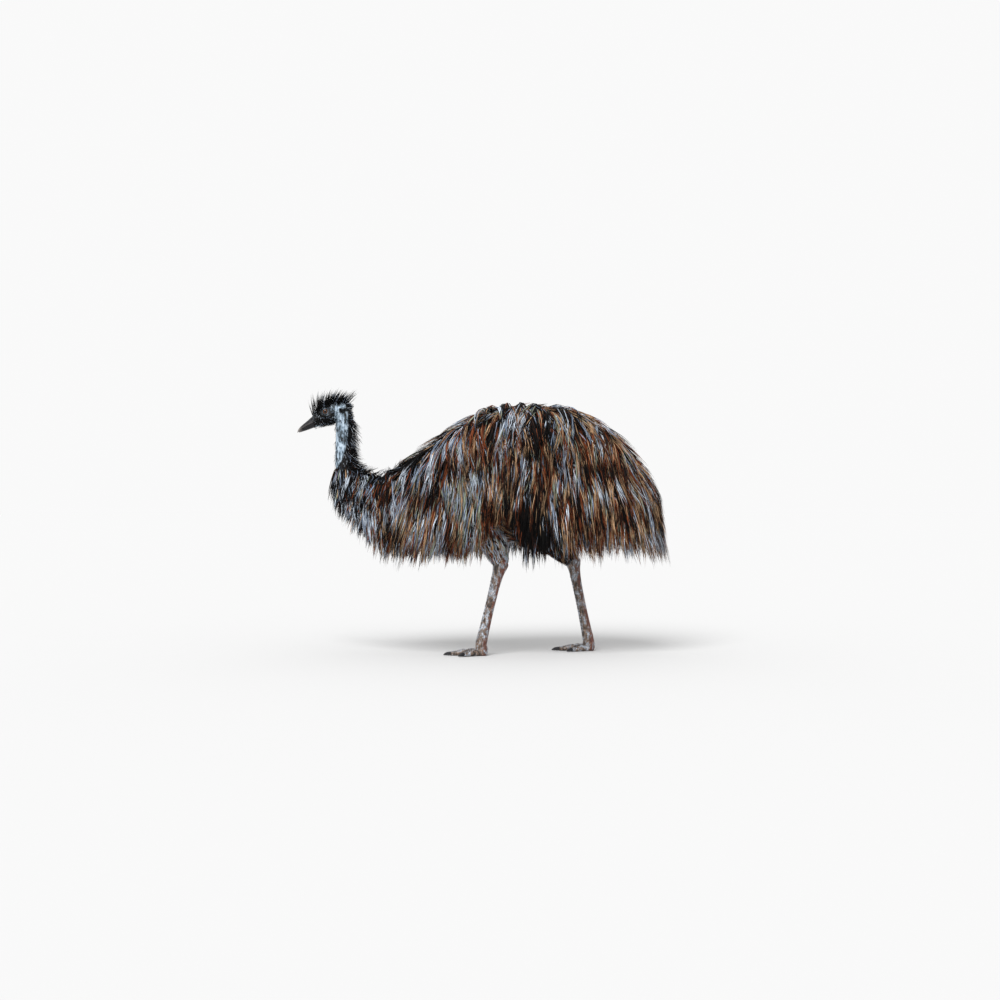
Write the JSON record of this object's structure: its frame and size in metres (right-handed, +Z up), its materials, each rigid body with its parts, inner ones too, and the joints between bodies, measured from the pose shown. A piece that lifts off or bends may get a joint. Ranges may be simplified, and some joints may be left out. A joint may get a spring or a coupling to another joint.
{
  "type": "emu",
  "caption": "Life-size still model of a walking emu: shaggy body plumage in hanging locks, bristly crest, bare bluish face, broad bill, scaly legs and clawed toes.",
  "frame": {"origin": "on the floor under the middle of the bounding box", "axes": "+X towards the tail, so the bill points along -X; +Y to the bird's right; +Z up"},
  "size_m": [1.5436, 0.5396, 1.1053],
  "materials": {
    "plumage": "matt, loose hair-like feathers in rust brown, tan, blue-grey and black",
    "face_skin": "bare pale blue skin under sparse black bristles",
    "leg_skin": "matt horny scales, grey-brown",
    "horn": "satin blackish horn",
    "eye": "wet gloss, amber brown with a dark pupil"
  },
  "bodies": {
    "root": {"head": "face_skin", "bill_upper": "horn", "bill_lower": "horn", "eye_left": "eye", "eye_right": "eye", "neck_upper": "plumage", "neck_lower": "plumage", "breast": "plumage", "torso": "plumage", "tail": "plumage", "wing_left": "plumage", "wing_right": "plumage", "drumstick_left": "plumage", "drumstick_right": "plumage", "tarsus_left": "leg_skin", "tarsus_right": "leg_skin", "foot_left": "leg_skin", "foot_right": "leg_skin", "claw_left_inner": "horn", "claw_left_middle": "horn", "claw_left_outer": "horn", "claw_right_inner": "horn", "claw_right_middle": "horn", "claw_right_outer": "horn"}
  },
  "joints": []
}
